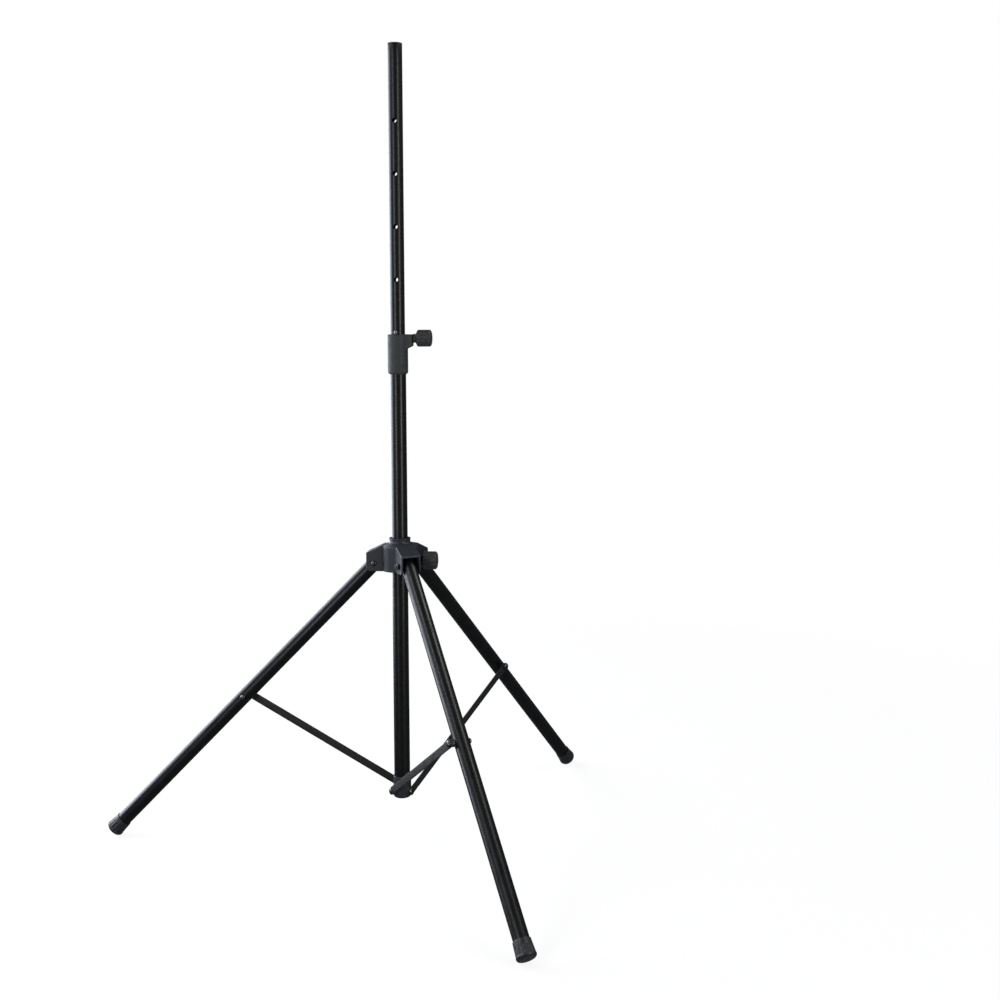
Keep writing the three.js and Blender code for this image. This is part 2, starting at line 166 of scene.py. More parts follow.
def eased(points, radius, steps=4):
    """An outline with each inner corner rounded; a point's third value is its own rounding."""
    out = [tuple(points[0][:2])]
    for before, here, after in zip(points, points[1:], points[2:]):
        corner = Vector(here[:2])
        back, on = Vector(before[:2]) - corner, Vector(after[:2]) - corner
        ease = min(here[2] if len(here) > 2 else radius, back.length / 2.1, on.length / 2.1)
        start, end = corner + back.normalized() * ease, corner + on.normalized() * ease
        for step in range(steps + 1):
            t = step / steps
            out.append(tuple((1 - t) ** 2 * start + 2 * t * (1 - t) * corner + t * t * end))
    out.append(tuple(points[-1][:2]))
    return out


def refined(points, step):
    """The same outline with points no further apart than step."""
    out = [points[0]]
    for a, b in zip(points, points[1:]):
        count = max(1, math.ceil(math.dist(a, b) / step))
        out += [tuple(Vector(a).lerp(Vector(b), k / count)) for k in range(1, count + 1)]
    return out


def turned(name, profile, columns=96, shape=None, sharp=SHARP_ANGLE):
    """Revolves (radius, z) points about Z. shape(angle, radius, z) may change a radius."""
    bm = bmesh.new()
    rings = []
    for radius, z in profile:
        ring = []
        if radius < 1e-6:
            ring = [bm.verts.new((0, 0, z))] * columns
        else:
            for column in range(columns):
                angle = 2 * math.pi * column / columns
                reach = shape(angle, radius, z) if shape else radius
                ring.append(bm.verts.new((reach * math.cos(angle), reach * math.sin(angle), z)))
        rings.append(ring)
    for lower, upper in zip(rings, rings[1:]):
        for column in range(columns):
            after = (column + 1) % columns
            corners = [lower[column], lower[after], upper[after], upper[column]]
            distinct = list(dict.fromkeys(corners))
            if len(distinct) > 2:
                bm.faces.new(distinct)
    return from_bmesh(name, bm, sharp)


def tube(name, outer, inner, z0, z1, edge=0.35, columns=96, step=60):
    ring = eased([(inner, z0), (outer, z0), (outer, z1), (inner, z1)], edge, 3)
    profile = refined(ring + [ring[0]], step)
    return turned(name, profile, columns)


def slab(name, outline, thickness, edge=0.0):
    """Extrudes an (x, z) outline along Y, centred on y = 0; edge is the rounding of its rims."""
    bm = bmesh.new()
    verts = [bm.verts.new((x, -thickness / 2, z)) for x, z in outline]
    face = bm.faces.new(verts)
    pushed = bmesh.ops.extrude_face_region(bm, geom=[face])
    far = [v for v in pushed["geom"] if isinstance(v, bmesh.types.BMVert)]
    bmesh.ops.translate(bm, verts=far, vec=(0, thickness, 0))
    bmesh.ops.recalc_face_normals(bm, faces=bm.faces)
    if edge:
        rims = [e for e in bm.edges if abs(e.verts[0].co.y - e.verts[1].co.y) < 1e-6]
        bmesh.ops.bevel(bm, geom=rims, offset=edge, segments=3, profile=0.5, affect="EDGES")
    return from_bmesh(name, bm)


def helix_ring(name, radius, wire, turns, columns=72, around=10):
    """A split ring: a close-wound wire of a few turns round the X axis."""
    bm = bmesh.new()
    rings = []
    total = round(turns * columns)
    for step in range(total + 1):
        angle = 2 * math.pi * step / columns
        along = wire * (2 * step / total - 1) * (turns - 1)
        ring = []
        for k in range(around):
            spin = 2 * math.pi * k / around
            reach = radius + wire * math.cos(spin)
            x = along + wire * math.sin(spin)
            ring.append(bm.verts.new((x, reach * math.sin(angle), reach * math.cos(angle))))
        rings.append(ring)
    for lower, upper in zip(rings, rings[1:]):
        for k in range(around):
            after = (k + 1) % around
            bm.faces.new((lower[k], lower[after], upper[after], upper[k]))
    bm.faces.new(rings[0])
    bm.faces.new(rings[-1])
    return from_bmesh(name, bm, KEEP_ROUND)


def moved(piece, matrix):
    piece.data.transform(matrix)
    return piece


def apply_modifiers(piece):
    graph = bpy.context.evaluated_depsgraph_get()
    mesh = bpy.data.meshes.new_from_object(piece.evaluated_get(graph))
    old = piece.data
    piece.modifiers.clear()
    piece.data = mesh
    bpy.data.meshes.remove(old)
    return piece


def combined(piece, others, operation):
    for other in others:
        modifier = piece.modifiers.new("join", "BOOLEAN")
        modifier.operation = operation
        modifier.solver = "EXACT"
        modifier.object = other
        apply_modifiers(piece)
        bpy.data.objects.remove(other)
    return piece


def added(piece, *others):
    return combined(piece, others, "UNION")


def cut(piece, *others):
    piece = combined(piece, others, "DIFFERENCE")
    smooth(piece.data)
    return piece


def cast(piece, voxel, relax):
    """Rounds a joined shape the way a moulded or cast part is rounded, in voxel-sized steps."""
    remesh = piece.modifiers.new("skin", "REMESH")
    remesh.mode = "VOXEL"
    remesh.voxel_size = voxel
    even = piece.modifiers.new("even", "SMOOTH")
    even.factor = 0.5
    even.iterations = relax
    apply_modifiers(piece)
    piece.data.shade_smooth()
    return piece


def rod(radius, z0, z1, columns=48):
    return turned("cutter", [(0, z0), (radius, z0), (radius, z1), (0, z1)], columns)


def drill(radius, reach):
    """A cutter along Z that reaches as far on both sides of the origin."""
    return rod(radius, -reach, reach)


def unit(value):
    """The value held between 0 and 1."""
    return min(1, max(0, value))


ALONG_X = Matrix.Rotation(math.pi / 2, 4, "Y")
ALONG_Y = Matrix.Rotation(-math.pi / 2, 4, "X")


def at(x=0.0, y=0.0, z=0.0):
    return Matrix.Translation((x, y, z))


# ---- materials ------------------------------------------------------------------------------
NOISE_FROM, NOISE_TO = 0.3, 0.7      # the middle of a noise's range, where most of its values are


def noise(nodes, links, coordinates, scale, detail=3.0, stretch=(1, 1, 1)):
    mapping = nodes.new("ShaderNodeMapping")
    mapping.inputs["Scale"].default_value = stretch
    links.new(coordinates, mapping.inputs["Vector"])
    texture = nodes.new("ShaderNodeTexNoise")
    texture.inputs["Scale"].default_value = scale
    texture.inputs["Detail"].default_value = detail
    links.new(mapping.outputs["Vector"], texture.inputs["Vector"])
    return texture.outputs["Fac"]


def spread(nodes, links, value, low, high):
    """Maps the middle of a noise's range onto low..high."""
    remap = nodes.new("ShaderNodeMapRange")
    remap.inputs["From Min"].default_value = NOISE_FROM
    remap.inputs["From Max"].default_value = NOISE_TO
    remap.inputs["To Min"].default_value = low
    remap.inputs["To Max"].default_value = high
    links.new(value, remap.inputs["Value"])
    return remap.outputs["Result"]


def surface(name, dark, light, rough, mottle, grain, depth, metallic=0.0, gloss=0.5,
            sheen=0.0, streaks=None):
    """A procedural surface. dark and light are the two ends of its colour, rough the ends of its
    roughness, mottle and grain the sizes of the colour change and of the bumps and depth the bumps'
    height, in millimetres. streaks stretches the change of roughness along an axis."""
    made = bpy.data.materials.new(name)
    made.use_nodes = True
    nodes, links = made.node_tree.nodes, made.node_tree.links
    shader = nodes["Principled BSDF"]
    coordinates = nodes.new("ShaderNodeTexCoord").outputs["Object"]
    patches = noise(nodes, links, coordinates, 1 / (mottle * MM), 5.0)
    ramp = nodes.new("ShaderNodeValToRGB")
    for element, place, colour in zip(ramp.color_ramp.elements, (NOISE_FROM, NOISE_TO), (dark, light)):
        element.position = place
        element.color = (*colour, 1)
    links.new(patches, ramp.inputs["Fac"])
    links.new(ramp.outputs["Color"], shader.inputs["Base Color"])
    worn = noise(nodes, links, coordinates, 1 / (2.5 * mottle * MM), 4.0, streaks or (1, 1, 1))
    links.new(spread(nodes, links, worn, *rough), shader.inputs["Roughness"])
    fine = noise(nodes, links, coordinates, 1 / (grain * MM), 2.0)
    bump = nodes.new("ShaderNodeBump")
    bump.inputs["Strength"].default_value = 1.0
    bump.inputs["Distance"].default_value = depth * MM
    links.new(fine, bump.inputs["Height"])
    links.new(bump.outputs["Normal"], shader.inputs["Normal"])
    shader.inputs["Metallic"].default_value = metallic
    shader.inputs["Specular IOR Level"].default_value = gloss
    shader.inputs["Sheen Weight"].default_value = sheen
    return made


LENGTHWISE = (1, 1, 0.04)            # stretches a noise along Z, the way of the mast
MATERIALS = {
    "tube_paint": surface("powder_coat", (0.0020, 0.0023, 0.0025), (0.0038, 0.0043, 0.0046), (0.30, 0.40),
                          mottle=14, grain=0.9, depth=0.010, gloss=0.28, streaks=LENGTHWISE),
    "strut_paint": surface("strut_coat", (0.007, 0.0075, 0.008), (0.012, 0.0125, 0.013), (0.40, 0.52),
                           mottle=10, grain=0.8, depth=0.012, gloss=0.3),
    "hub_cast": surface("cast_paint", (0.006, 0.008, 0.011), (0.012, 0.015, 0.020), (0.44, 0.60),
                        mottle=4, grain=0.7, depth=0.05, gloss=0.4),
    "collar_plastic": surface("collar_mould", (0.013, 0.016, 0.018), (0.022, 0.026, 0.029), (0.56, 0.72),
                              mottle=4, grain=0.6, depth=0.05, gloss=0.35),
    "knob_plastic": surface("knob_mould", (0.012, 0.014, 0.016), (0.020, 0.023, 0.025), (0.50, 0.66),
                            mottle=4, grain=0.5, depth=0.035, gloss=0.35),
    "foot_rubber": surface("foot_rubber", (0.004, 0.005, 0.006), (0.008, 0.009, 0.011), (0.40, 0.54),
                           mottle=6, grain=0.6, depth=0.03, gloss=0.5, sheen=0.03),
    "pin_steel": surface("plated_steel", (0.16, 0.16, 0.18), (0.30, 0.30, 0.33), (0.32, 0.48),
                         mottle=3, grain=0.4, depth=0.01, metallic=1.0),
    "fastener_zinc": surface("dark_zinc", (0.05, 0.05, 0.056), (0.13, 0.13, 0.14), (0.22, 0.40),
                             mottle=2, grain=0.4, depth=0.012, metallic=1.0),
    "liner_plastic": surface("nylon", (0.008, 0.009, 0.010), (0.014, 0.015, 0.016), (0.38, 0.52),
                             mottle=5, grain=0.6, depth=0.02, gloss=0.35),
}


def show(piece, node):
    """The piece stands for a CAD node: it rides on its body and takes its slot's finish."""
    piece.name = f"fine_{node}"
    piece.data.transform(Matrix.Scale(MM, 4))
    piece.data.materials.clear()
    piece.data.materials.append(MATERIALS[SLOT_OF[node]])
    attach(piece, BODY_OF[node])
    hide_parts(node)
    return piece


# ---- mast -----------------------------------------------------------------------------------
def make_pole():
    pole = tube("pole", POLE_R, POLE_R - WALL, pole_low.z, pole_high.z, columns=128, step=25)
    for step in range(PIN_HOLES):
        height = PIN_Z + (step - 1) * PIN_HOLE_PITCH
        pole = cut(pole, moved(drill(PIN_HOLE_R, 2 * POLE_R), at(z=height) @ ALONG_Y))
    show(moved(pole, MAST), "pole_tube")


def make_cap():
    low, high = cad_box("pole_cap")
    spigot_r = POLE_R - WALL - 2 * GAP
    seat = pole_high.z + GAP
    crown_r = POLE_R - 3
    profile = eased([(0, low.z), (spigot_r, low.z, 1.5), (spigot_r, seat, 0.1), (POLE_R, seat, 0.3),
                     (POLE_R, high.z, 1.1), (crown_r, high.z, 0.3), (0, high.z)], 0.2)
    show(moved(turned("cap", profile), MAST), "pole_cap")


def make_lower_mast():
    mast = tube("mast", MAST_R, MAST_R - WALL, mast_low.z, mast_high.z, columns=128, step=40)
    show(moved(mast, MAST), "lower_mast_tube")


def make_collar():
    """A sleeve on the mast's top with a gusset on one side for the clamp screw."""
    low, high = cad_box("collar")
    bottom, top = low.z, high.z
    radius, foot_in, foot_up = 24.3, 3.5, 4
    sleeve = eased([(0, bottom), (radius - foot_in, bottom), (radius, bottom + foot_up, 2),
                    (radius, top, 1.5), (0, top)], 1)
    arm_end, arm_width, arm_under = 36, 27, top - 28
    sag_inside, sag_outside, sag_r = 10, 7, radius - 3
    gusset = eased([(0, top), (0, arm_under - sag_inside), (sag_r, arm_under - sag_outside),
                    (arm_end, arm_under, 1.5), (arm_end, top, 1.5), (0, top)], 1.5)[:-1]
    body = added(turned("collar", sleeve), slab("gusset", gusset, arm_width))
    body = cast(body, voxel=0.75, relax=3)
    mast_bore = rod(MAST_R + GAP, bottom - CLEAR, mast_high.z + GAP, 96)
    pole_bore = rod(MAST_R - WALL, mast_high.z, top + CLEAR, 96)
    screw_z = joint_place("collar_knob_turn").z
    insert_bore = moved(rod(INSERT_SEAT_R, 0, arm_end + CLEAR), at(z=screw_z) @ ALONG_X)
    body = cut(body, mast_bore, pole_bore, insert_bore)
    show(moved(body, MAST), "collar")


def make_pin():
    """The plain pin with its headed end behind the pole, and the split ring through its eye."""
    tip, head_from, head_end, eye_at = -27.5, 34, 46, 40
    radius, head_r, eye_r, tip_bore_r, tip_bore = 4.6, 6.5, 2.9, 2.2, 4
    outline = eased([(0, tip), (radius, tip, 1.4), (radius, head_from, 0.3), (head_r, head_from, 0.8),
                     (head_r, head_end, 1.2), (0, head_end)], 0.3)
    eye = moved(drill(eye_r, 10), at(z=eye_at) @ ALONG_X)
    shaft = cut(turned("pin", outline, 64), eye, rod(tip_bore_r, tip - CLEAR, tip + tip_bore, 32))
    show(moved(shaft, at(MAST_X, 0, PIN_Z) @ ALONG_Y), "safety_pin")
    ring_r, wire_r = 14, 0.45
    ring = helix_ring("ring", ring_r, wire_r, turns=2.0)
    hang = joint_place("pin_ring_swing") - Vector((0, 0, ring_r))
    show(moved(ring, Matrix.Translation(hang) @ Matrix.Rotation(math.pi / 2, 4, "Z")), "pin_ring")


def make_boss():
    """The fixed boss at the mast's foot, with a round pad for each strut screw."""
    low, high = cad_box("mast_boss")
    radius, edge, pad_r = 21.5, 4, 9.5
    outline = eased([(0, low.z), (radius - edge, low.z, 2), (radius, low.z + edge, 3), (radius, high.z, 1),
                     (0, high.z)], 1)
    pads = []
    for number in LEGS:
        pad = turned("pad", eased([(0, -PAD_END), (pad_r, -PAD_END, 1), (pad_r, 0), (0, 0)], 1), 48)
        turn = Matrix.Rotation(leg_azimuth(number), 4, "Z")
        pads.append(moved(pad, turn @ at(z=joint_place("strut_1_fold").z) @ ALONG_Y))
    body = cast(added(turned("boss", outline), *pads), voxel=0.8, relax=3)
    body = cut(body, rod(MAST_R + GAP, mast_low.z - GAP, high.z + CLEAR, 96))
    show(moved(body, MAST), "mast_boss")


# ---- clamp screws ---------------------------------------------------------------------------
def screw_line(prefix):
    """Along a clamp screw, +Z outward from the mast's axis."""
    return at(MAST_X, 0, joint_place(f"{prefix}_knob_turn").z) @ ALONG_X


def screw_span(node):
    """Where a piece of a clamp screw starts and ends, from the mast's axis."""
    low, high = cad_box(node)
    return low.x - MAST_X, high.x - MAST_X


def make_knob(prefix, radius):
    """A round neck, a taper and a grip with rounded lobes between narrow grooves."""
    start, end = screw_span(f"{prefix}_clamp_knob")
    neck_r, neck, taper = 10.7, 5.5, 5
    grip_from, grip_to = start + neck + taper, end - 4
    lobes, groove, narrowness = 9, 1.5, 10
    groove_from, groove_to = grip_from - taper * 0.6, end - 0.8
    run_in, run_out = 4, 3

    def lobed(angle, reach, z):
        inside = unit((z - groove_from) / run_in) * unit((groove_to - z) / run_out)
        notch = abs(math.sin(angle * lobes / 2 + math.pi / 2)) ** narrowness
        return reach - groove * inside * notch

    outline = [(0, start), (neck_r, start, 0.6), (neck_r, start + neck, 1), (radius, grip_from, 2.5),
               (radius, grip_to, 2.5), (radius - 3.4, end - 1.4, 1.5), (radius * 0.5, end - 0.1, 3), (0, end)]
    knob = turned("knob", refined(eased(outline, 1, 6), 1.6), 216, lobed, KEEP_ROUND)
    show(moved(knob, screw_line(prefix)), f"{prefix}_clamp_knob")


def threaded(name, radius, z0, z1, pitch, depth):
    """A threaded rod along Z with both ends turned down to the thread's root."""
    def groove(angle, reach, z):
        phase = (z / pitch - angle / (2 * math.pi)) % 1
        return reach - depth * abs(2 * phase - 1)

    root, points_per_turn, sharp = radius - depth, 6, 80
    crest = refined([(radius, z0), (radius, z1)], pitch / points_per_turn)[1:-1]
    profile = [(0, z0), (root, z0)] + crest + [(root, z1), (0, z1)]
    return turned(name, profile, 32, groove, sharp)


def make_stud(prefix):
    start, end = screw_span(f"{prefix}_clamp_stud")
    stud = threaded("stud", BOLT_R, start, end, pitch=1.25, depth=0.6)
    show(moved(stud, screw_line(prefix)), f"{prefix}_clamp_stud")


def make_insert(prefix):
    start, end = screw_span(f"{prefix}_insert")
    sleeve = tube("insert", INSERT_SEAT_R - GAP, BOLT_BORE_R, start, end, 0.5, 48)
    show(moved(sleeve, screw_line(prefix)), f"{prefix}_insert")


# ---- hub ------------------------------------------------------------------------------------
def hub_core(bottom, top):
    """The round body with a lipped ring on top, hollow from below round the sleeve for the mast."""
    body_r, wall, sleeve_r, shoulder, cavity_top = 44, 4, 27.5, 727, 716
    ring_r, ring_height, lip_r, lip_height, lip_slope = 25.2, 11, 26.1, 2.5, 0.5
    outline = eased([(0, bottom), (body_r, bottom, 1.5), (body_r, shoulder, 3.5),
                     (ring_r, top - ring_height, 2), (ring_r, top - lip_height - lip_slope, 0.8),
                     (lip_r, top - lip_height, 0.4), (lip_r, top, 0.8), (0, top)], 1)
    cavity = tube("cavity", body_r - wall, sleeve_r, bottom - CLEAR, cavity_top, 1.5)
    return cut(turned("hub", outline), cavity)


def hub_arms(bottom):
    """The three forks that hold the legs: their blocks, the rooms cut in them, and their bolt holes."""
    arm_from, arm_end, arm_top, slope = 38, 78, 711, 0.46
    room_from, room_to, room_half, cover = 36.5, arm_end + 12, 20, 4.8

    def ceiling(reach):
        return arm_top + slope * (arm_end - reach)

    arm = eased([(arm_from, ceiling(arm_from)), (arm_from, bottom), (arm_end, bottom, 9),
                 (arm_end, arm_top, 1.2), (arm_from, ceiling(arm_from))], 1)[:-1]
    room = [(room_from, bottom - 10), (room_to, bottom - 10), (room_to, ceiling(room_to) - cover),
            (room_from, ceiling(room_from) - cover)]
    arms, rooms, holes = [], [], []
    for number in LEGS:
        turn = Matrix.Rotation(leg_azimuth(number), 4, "Z")
        hinge = at(x=hinge_reach(number), z=joint_place("leg_1_fold").z)
        arms.append(moved(slab("arm", arm, 2 * ARM_HALF, 1.2), turn))
        rooms.append(moved(slab("room", room, 2 * room_half), turn))
        holes.append(moved(moved(drill(BOLT_BORE_R, 40), hinge @ ALONG_Y), turn))
    return arms, rooms, holes


def hinge_reach(number):
    return (joint_place(f"leg_{number}_fold").xy - Vector((MAST_X, 0))).length


def make_hub():
    low, high = cad_box("hub_casting")
    bottom, top = low.z, high.z
    arms, rooms, holes = hub_arms(bottom)
    boss_from, boss_end, boss_r = 22.5, 45.2, 13
    along_screw = at(z=joint_place("hub_knob_turn").z) @ ALONG_X
    boss_outline = eased([(0, boss_from), (boss_r, boss_from), (boss_r, boss_end, 1), (0, boss_end)], 1)
    screw_boss = moved(turned("boss", boss_outline, 64), along_screw)
    body = cut(added(hub_core(bottom, top), screw_boss, *arms), *rooms)
    body = cast(body, voxel=0.95, relax=4)
    bore = rod(HUB_BORE_R, bottom - CLEAR, top + CLEAR, 96)
    screw_bore = moved(rod(INSERT_SEAT_R, 0, boss_end + CLEAR), along_screw)
    body = cut(body, bore, screw_bore, *holes)
    show(moved(body, MAST), "hub_casting")


def make_liner():
    low, high = cad_box("hub_liner")
    liner = tube("liner", HUB_BORE_R - GAP, MAST_R + GAP, low.z, high.z, 0.5)
    screw_z = joint_place("hub_knob_turn").z
    liner = cut(liner, moved(rod(INSERT_SEAT_R, 0, 40), at(z=screw_z) @ ALONG_X))
    show(moved(liner, MAST), "hub_liner")


# ---- legs -----------------------------------------------------------------------------------
def make_leg(number):
    leg = tube("leg", LEG_R, LEG_R - WALL, LEG_TUBE_END, LEG_TOP, columns=96, step=40)
    for z in (0, -STRUT_ON_LEG):
        leg = cut(leg, moved(drill(LEG_HOLE_R, 30), at(z=z) @ ALONG_Y))
    show(moved(leg, leg_frame(number)), f"leg_{number}_tube")


def make_foot(number):
    """A tapered cup: flutes run down its side and stop above a plain band round the base."""
    end, mouth, seat = -LEG_LENGTH, 39 - LEG_LENGTH, LEG_TUBE_END - GAP
    wide, narrow, bore = 21.9, 19.3, LEG_R + GAP
    band, flute_top, flutes, flute_depth, narrowness = end + 8, end + 29, 14, 1.3, 3
    run_in, run_out = 1.5, 5

    def fluted(angle, reach, z):
        if reach < bore + 0.5:
            return reach
        inside = unit((z - band) / run_in) * unit((flute_top - z) / run_out)
        return reach - flute_depth * inside * (0.5 + 0.5 * math.cos(flutes * angle)) ** narrowness

    outline = [(0, end), (wide - 5, end + 0.6, 3), (wide - 1.5, end + 2.5, 2), (wide, end + 6, 2),
               (wide - 0.1, band, 0.3), (wide - 0.7, band + 0.8, 0.5), (narrow, mouth - 0.8, 1.2),
               (narrow - 0.4, mouth, 0.3), (bore, mouth, 0.3), (bore, seat), (0, seat)]
    foot = turned("foot", refined(eased(outline, 0.6, 5), 1.2), 252, fluted, KEEP_ROUND)
    moved(foot, leg_frame(number))
    for vertex in foot.data.vertices:
        vertex.co.z = max(vertex.co.z, 0)
    show(foot, f"leg_{number}_foot")


def domed_head(under):
    """The outline of a button head above z = under, ending on the axis."""
    return [(HEAD_R, under, 0.3), (HEAD_R, under + HEAD_HEIGHT * 0.35, 1.2),
            (HEAD_R * 0.66, under + HEAD_HEIGHT * 0.9, 1.2), (0, under + HEAD_HEIGHT)]


def with_socket(piece, top):
    """A hexagon socket sunk in a button head."""
    corner, depth = 4 / 1.73, 2.4
    outline = [(0, top - depth), (corner, top - depth), (corner, top + CLEAR), (0, top + CLEAR)]
    return cut(piece, turned("socket", outline, 6))


def button_bolt(end, under, tip_ease):
    """A round-headed bolt along Z, from its plain end to the underside of its head."""
    shank = [(0, end), (BOLT_R, end, tip_ease), (BOLT_R, under, 0.1)]
    bolt = turned("bolt", eased(shank + domed_head(under), 0.2), 48)
    return with_socket(bolt, under + HEAD_HEIGHT)


def hexagon(name, across, z0, z1):
    """A hexagon nut blank with its corners chamfered at both ends."""
    corner = across / math.sqrt(3)
    blank = turned(name, [(0, z0), (corner, z0), (corner, z1), (0, z1)], 6)
    bevel, proud = 1.1, 0.2
    drop = bevel * 0.7
    shape = turned("envelope", [(0, z0), (corner - bevel, z0), (corner + proud, z0 + drop),
                                (corner + proud, z1 - drop), (corner - bevel, z1), (0, z1)], 64)
    piece = combined(blank, [shape], "INTERSECT")
    smooth(piece.data)
    return piece


def make_hinge_bolt(number):
    under = ARM_HALF + GAP
    past_nut, nut_across, nut_height, nut_bore_r = 9, 13, 6, 4.15
    place = hinge_frame(number) @ ALONG_Y
    bolt = button_bolt(-under - past_nut, under, tip_ease=0.8)
    show(moved(bolt, place), f"leg_{number}_hinge_bolt")
    nut = hexagon("nut", nut_across, -under - nut_height, -under)
    nut = cut(nut, rod(nut_bore_r, -under - 10, CLEAR - under, 32))
    show(moved(nut, place), f"leg_{number}_hinge_nut")


def make_strut_bolt(number):
    place = leg_frame(number) @ at(z=-STRUT_ON_LEG) @ ALONG_Y
    end, spacer_r = GAP - STRUT_PLANE, 8
    bolt = button_bolt(end, LEG_R + GAP, tip_ease=0.3)
    show(moved(bolt, place), f"leg_{number}_strut_bolt")
    spacer = tube("spacer", spacer_r, BOLT_BORE_R, end, -LEG_R - GAP, 0.5, 48)
    show(moved(spacer, place), f"leg_{number}_strut_spacer")


# ---- struts ---------------------------------------------------------------------------------
def make_strut(number):
    """A flat bar with round ends and a hole at each, and the rivet that holds it to the leg."""
    half, steps, edge = 9, 14, 0.6
    outline = []
    for middle, first in ((STRUT_LENGTH, 0), (0, math.pi)):
        for step in range(steps + 1):
            angle = first + math.pi * step / steps
            outline.append((half * math.cos(angle), middle + half * math.sin(angle)))
    bar = slab("bar", outline, STRUT_THICK, edge)
    for z, radius in ((0, SCREW_R + GAP), (STRUT_LENGTH, BOLT_BORE_R)):
        bar = cut(bar, moved(drill(radius, 10), at(z=z) @ ALONG_Y))
    tilt = boss_frame(number) @ Matrix.Rotation(STRUT_ANGLE, 4, "Y")
    show(moved(bar, tilt @ at(y=-STRUT_PLANE - STRUT_THICK / 2)), f"strut_{number}_bar")
    head_r, head_edge, crown_r, crown, height = 8.4, 2.4, 5.6, 5.2, 6
    dome = [(0, -STRUT_FACE), (head_r, -STRUT_FACE), (head_r, -STRUT_FACE - head_edge),
            (crown_r, -STRUT_FACE - crown), (0, -STRUT_FACE - height)]
    rivet = turned("rivet", eased(dome, 1.2), 48)
    show(moved(rivet, tilt @ at(z=STRUT_LENGTH) @ ALONG_Y), f"strut_{number}_rivet")


def make_strut_screw(number):
    """A cross-slotted pan-head screw that pins the strut to its pad on the boss."""
    tip, top, head_r, crown_r = SCREW_GRIP - PAD_END, -STRUT_FACE - 3.6, 8.4, 4.6
    shape = [(0, top), (crown_r, -STRUT_FACE - 3.4, 1), (head_r, -STRUT_FACE - 1.4, 1.6),
             (head_r, -STRUT_FACE, 0.3), (SCREW_R, -STRUT_FACE, 0.1), (SCREW_R, tip, 0.6), (0, tip)]
    screw = turned("screw", eased(shape, 0.2), 48)
    slot_half, slot_depth, slot_width = 3.4, 1.4, 1.2
    for turn in (0, math.pi / 2):
        slot = slab("slot", [(-slot_half, -slot_depth), (slot_half, -slot_depth), (slot_half, slot_depth),
                             (-slot_half, slot_depth)], slot_width)
        screw = cut(screw, moved(slot, at(z=top) @ Matrix.Rotation(turn, 4, "Z")))
    show(moved(screw, boss_frame(number) @ ALONG_Y), f"strut_{number}_screw")


make_pole()
make_cap()
make_lower_mast()
make_collar()
make_pin()
make_boss()
make_hub()
make_liner()
for prefix, knob_radius in (("collar", 20.3), ("hub", 21.5)):
    make_knob(prefix, knob_radius)
    make_stud(prefix)
    make_insert(prefix)
for number in LEGS:
    make_leg(number)
    make_foot(number)
    make_hinge_bolt(number)
    make_strut_bolt(number)
    make_strut(number)
    make_strut_screw(number)

# The hidden plugs, the guide and the clamp shoes keep their CAD shape and get their own finish.
for node in ["pole_guide", "collar_clamp_shoe", "hub_clamp_shoe"] + [f"leg_{number}_plug" for number in LEGS]:
    shape = frame["nodes"][node]
    shape.data.materials.clear()
    shape.data.materials.append(MATERIALS[SLOT_OF[node]])


# ---- floor, light and camera ------------------------------------------------------------------
FLOOR_RADIUS = 60                    # metres, as all lengths from here on
FADE_FROM, FADE_TO = 0.7, 3.2        # how far from the stand the floor turns fully white
NEAR_GLOW = 0.88                     # how much of the floor's white is its own glow, near the stand
FLOOR_DROP = 0.0005                  # keeps the feet clear of the floor's face
BACKDROP_LIGHT = 0.09                # what the white background adds to the light on the stand
CAMERA_FROM_MAST = Vector((0.618, -3.336, 1.292))
CAMERA_YAW = math.radians(-4.76)
CAMERA_PITCH = math.radians(2.97)
CAMERA_ROLL = math.radians(0.30)
CAMERA_SHIFT = (-0.040, -0.118)
LENS, SENSOR = 50.9, 36              # millimetres
AIM_HEIGHT = 0.95                    # the soft boxes face the mast at this height

# Each soft box: bearing in degrees, distance, height, (width, height), watts and colour.
SOFT_BOXES = {
    "side_window": (-112, 3.2, 1.3, (2.0, 2.8), 150, (0.82, 0.88, 1.0)),
    "back_window": (-148, 3.2, 1.3, (2.0, 2.8), 110, (0.86, 0.91, 1.0)),
    "left_strip": (-37, 3.4, 1.3, (0.55, 2.6), 46, (1.0, 0.98, 1.0)),
    "right_strip": (42, 3.4, 1.3, (0.60, 2.6), 50, (0.98, 0.98, 1.0)),
    "left_overhead": (-85, 2.2, 3.4, (2.6, 0.7), 60, (0.98, 0.98, 1.0)),
    "right_overhead": (95, 2.2, 3.4, (2.6, 0.7), 50, (0.98, 0.98, 1.0)),
}


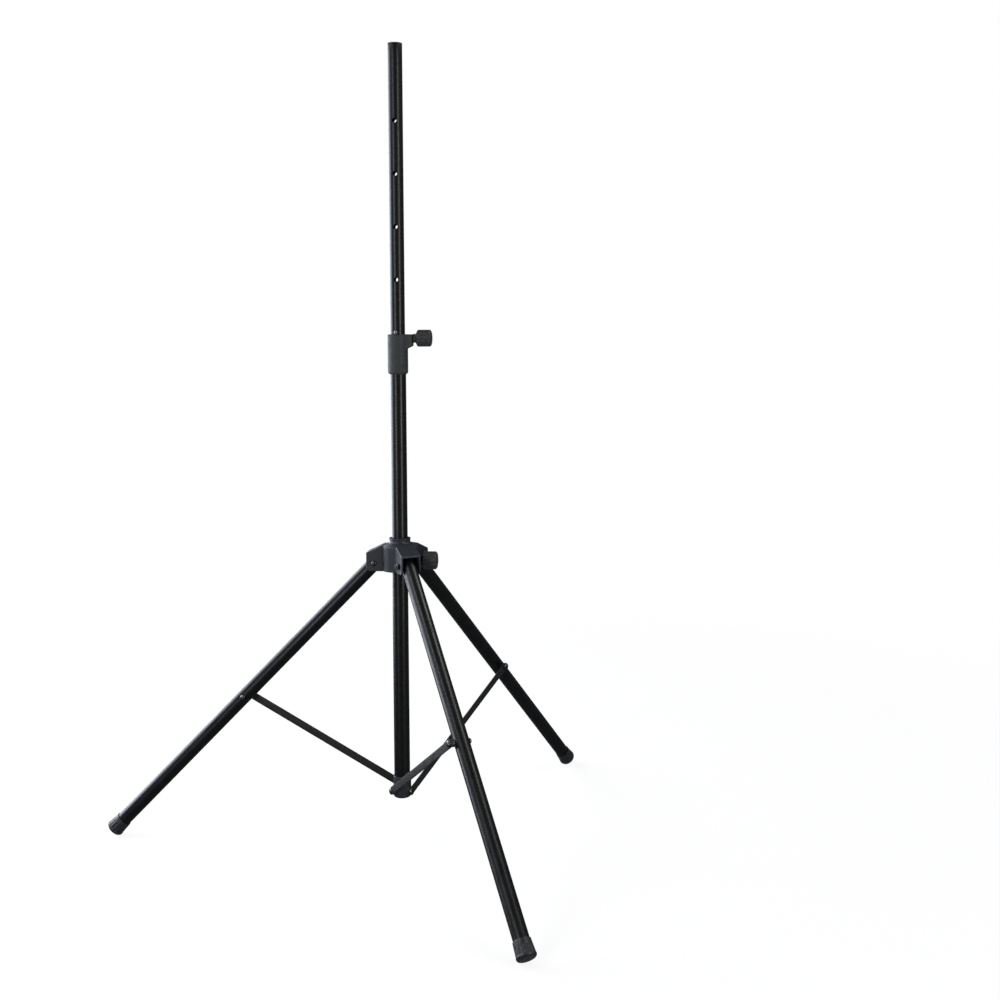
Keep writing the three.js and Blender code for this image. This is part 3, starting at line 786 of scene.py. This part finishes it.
def make_floor():
    bm = bmesh.new()
    bmesh.ops.create_circle(bm, cap_ends=True, segments=96, radius=FLOOR_RADIUS)
    mesh = bpy.data.meshes.new("floor")
    bm.to_mesh(mesh)
    bm.free()
    floor = new_object("floor", mesh)
    paint = bpy.data.materials.new("floor_white")
    paint.use_nodes = True
    nodes, links = paint.node_tree.nodes, paint.node_tree.links
    shader = nodes["Principled BSDF"]
    shader.inputs["Base Color"].default_value = (0.86, 0.86, 0.86, 1)
    shader.inputs["Roughness"].default_value = 0.9
    shader.inputs["Specular IOR Level"].default_value = 0.1
    # Near the stand the floor glows nearly as white as the background, and further off fully so.
    glow = nodes.new("ShaderNodeEmission")
    distance = nodes.new("ShaderNodeVectorMath")
    distance.operation = "LENGTH"
    links.new(nodes.new("ShaderNodeTexCoord").outputs["Object"], distance.inputs[0])
    fade = nodes.new("ShaderNodeMapRange")
    fade.interpolation_type = "SMOOTHSTEP"
    fade.inputs["From Min"].default_value = FADE_FROM
    fade.inputs["From Max"].default_value = FADE_TO
    fade.inputs["To Min"].default_value = NEAR_GLOW
    links.new(distance.outputs["Value"], fade.inputs["Value"])
    mix = nodes.new("ShaderNodeMixShader")
    links.new(fade.outputs["Result"], mix.inputs["Fac"])
    links.new(shader.outputs["BSDF"], mix.inputs[1])
    links.new(glow.outputs["Emission"], mix.inputs[2])
    links.new(mix.outputs["Shader"], nodes["Material Output"].inputs["Surface"])
    mesh.materials.append(paint)
    floor.location.z = -FLOOR_DROP
    floor.visible_glossy = False


def make_world():
    """White where the camera sees it, and a dim light for everything else."""
    world = bpy.data.worlds.new("studio")
    world.use_nodes = True
    nodes, links = world.node_tree.nodes, world.node_tree.links
    plain = nodes["Background"]
    plain.inputs["Color"].default_value = (1, 1, 1, 1)
    plain.inputs["Strength"].default_value = 1.0
    dim = nodes.new("ShaderNodeBackground")
    dim.inputs["Color"].default_value = (0.92, 0.96, 1, 1)
    dim.inputs["Strength"].default_value = BACKDROP_LIGHT
    path = nodes.new("ShaderNodeLightPath")
    mix = nodes.new("ShaderNodeMixShader")
    links.new(path.outputs["Is Camera Ray"], mix.inputs["Fac"])
    links.new(dim.outputs["Background"], mix.inputs[1])
    links.new(plain.outputs["Background"], mix.inputs[2])
    links.new(mix.outputs["Shader"], nodes["World Output"].inputs["Surface"])
    bpy.context.scene.world = world


def add_light(name, bearing, distance, height, size, power, colour):
    """A soft box. bearing is measured round the mast from the camera's side, to the right."""
    mast = Vector((MAST_X * MM, 0, 0))
    towards = math.atan2(CAMERA_FROM_MAST.y, CAMERA_FROM_MAST.x) + math.radians(bearing)
    data = bpy.data.lights.new(name, "AREA")
    data.shape = "RECTANGLE"
    data.size, data.size_y = size
    data.energy = power
    data.color = colour
    light = new_object(name, data)
    light.location = mast + Vector((math.cos(towards) * distance, math.sin(towards) * distance, height))
    aim = mast + Vector((0, 0, AIM_HEIGHT)) - light.location
    light.rotation_mode = "QUATERNION"
    light.rotation_quaternion = aim.to_track_quat("-Z", "Y")
    light.visible_camera = False


def make_camera():
    data = bpy.data.cameras.new("camera")
    data.sensor_width = SENSOR
    data.lens = LENS
    data.shift_x, data.shift_y = CAMERA_SHIFT
    camera = new_object("camera", data)
    right = Vector((math.cos(CAMERA_YAW), -math.sin(CAMERA_YAW), 0))
    level = Vector((math.sin(CAMERA_YAW), math.cos(CAMERA_YAW), 0))
    ahead = math.cos(CAMERA_PITCH) * level - Vector((0, 0, math.sin(CAMERA_PITCH)))
    up = right.cross(ahead)
    across = math.cos(CAMERA_ROLL) * right - math.sin(CAMERA_ROLL) * up
    crown = math.sin(CAMERA_ROLL) * right + math.cos(CAMERA_ROLL) * up
    turn = Matrix((across, crown, -ahead)).transposed().to_4x4()
    camera.matrix_world = Matrix.Translation(CAMERA_FROM_MAST + Vector((MAST_X * MM, 0, 0))) @ turn
    bpy.context.scene.camera = camera


make_floor()
make_world()
make_camera()
for name, box in SOFT_BOXES.items():
    add_light(name, *box)
bpy.context.scene.view_settings.view_transform = "Standard"
